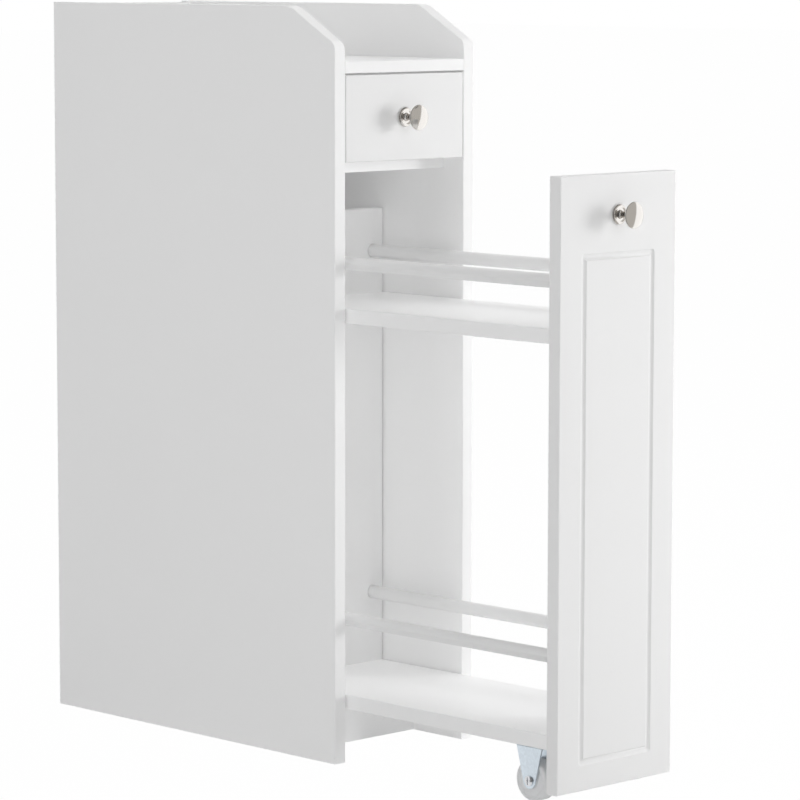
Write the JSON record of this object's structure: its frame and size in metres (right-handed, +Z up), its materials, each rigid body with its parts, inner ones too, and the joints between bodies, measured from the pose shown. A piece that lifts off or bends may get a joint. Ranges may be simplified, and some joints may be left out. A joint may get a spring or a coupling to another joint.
{
  "type": "narrow rolling cabinet",
  "caption": "Slim upright cabinet with an open top tray, a small drawer and a tall pull-out of railed shelves that rolls on fixed casters behind a grooved door.",
  "frame": {"origin": "on the floor, at the middle of the object's bounding box from the door knob's tip to the rear edges of the side panels, with the trolley pulled out", "axes": "+Z up, -Y towards the front (the way that the trolley and the drawer pull out), +X to the viewer's right when facing the front"},
  "size_m": [0.2, 0.775, 0.78],
  "materials": {
    "white_board": "satin white lacquer on fibreboard",
    "white_front": "satin white lacquer on fibreboard",
    "white_rail": "satin white",
    "polished_nickel": "polished nickel",
    "galvanised_steel": "bright zinc, satin",
    "zinc_fastener": "bright zinc",
    "grey_wheel": "smooth, matte",
    "dowel_wood": "plain beech"
  },
  "bodies": {
    "case": {"side_panel_left": "white_board", "side_panel_right": "white_board", "back_panel": "white_board", "tray_board": "white_board", "divider_board": "white_board", "toe_board": "white_board", "back_panel_screws": "zinc_fastener", "carcass_dowels": "dowel_wood", "carcass_cam_bolts": "zinc_fastener", "carcass_cams": "zinc_fastener"},
    "trolley": {"door_panel": "white_front", "trolley_rear_board": "white_board", "middle_shelf": "white_board", "bottom_shelf": "white_board", "middle_rail_left": "white_rail", "middle_rail_right": "white_rail", "bottom_rail_left": "white_rail", "bottom_rail_right": "white_rail", "door_knob": "polished_nickel", "door_knob_rosette": "polished_nickel", "door_knob_screw": "zinc_fastener", "rear_board_screws": "zinc_fastener", "trolley_dowels": "dowel_wood", "trolley_cam_bolts": "zinc_fastener", "trolley_cams": "zinc_fastener", "caster_bracket_front_left": "galvanised_steel", "caster_bracket_front_right": "galvanised_steel", "caster_bracket_rear_left": "galvanised_steel", "caster_bracket_rear_right": "galvanised_steel", "caster_axle_bolts": "zinc_fastener", "caster_axle_nuts": "zinc_fastener", "caster_screws": "zinc_fastener"},
    "wheel_front_left": {"caster_wheel_front_left": "grey_wheel"},
    "wheel_front_right": {"caster_wheel_front_right": "grey_wheel"},
    "wheel_rear_left": {"caster_wheel_rear_left": "grey_wheel"},
    "wheel_rear_right": {"caster_wheel_rear_right": "grey_wheel"},
    "drawer": {"drawer_front": "white_front", "drawer_side_left": "white_board", "drawer_side_right": "white_board", "drawer_back": "white_board", "drawer_bottom": "white_board", "drawer_knob": "polished_nickel", "drawer_knob_rosette": "polished_nickel", "drawer_knob_screw": "zinc_fastener", "drawer_screws": "zinc_fastener", "drawer_dowels": "dowel_wood", "drawer_cam_bolts": "zinc_fastener", "drawer_cams": "zinc_fastener"}
  },
  "joints": [
    {"name": "trolley_slide", "type": "slide", "parent": "case", "child": "trolley", "axis": [0, -1, 0], "range_m": [-0.3, 0]},
    {"name": "drawer_slide", "type": "slide", "parent": "case", "child": "drawer", "axis": [0, -1, 0], "range_m": [0, 0.28]},
    {"name": "wheel_front_left_spin", "type": "hinge", "parent": "trolley", "child": "wheel_front_left", "pos_m": [-0.069, -0.322, 0.021], "axis": [1, 0, 0], "continuous": true},
    {"name": "wheel_front_right_spin", "type": "hinge", "parent": "trolley", "child": "wheel_front_right", "pos_m": [0.069, -0.322, 0.021], "axis": [1, 0, 0], "continuous": true},
    {"name": "wheel_rear_left_spin", "type": "hinge", "parent": "trolley", "child": "wheel_rear_left", "pos_m": [-0.069, 0.047, 0.021], "axis": [1, 0, 0], "continuous": true},
    {"name": "wheel_rear_right_spin", "type": "hinge", "parent": "trolley", "child": "wheel_rear_right", "pos_m": [0.069, 0.047, 0.021], "axis": [1, 0, 0], "continuous": true}
  ]
}
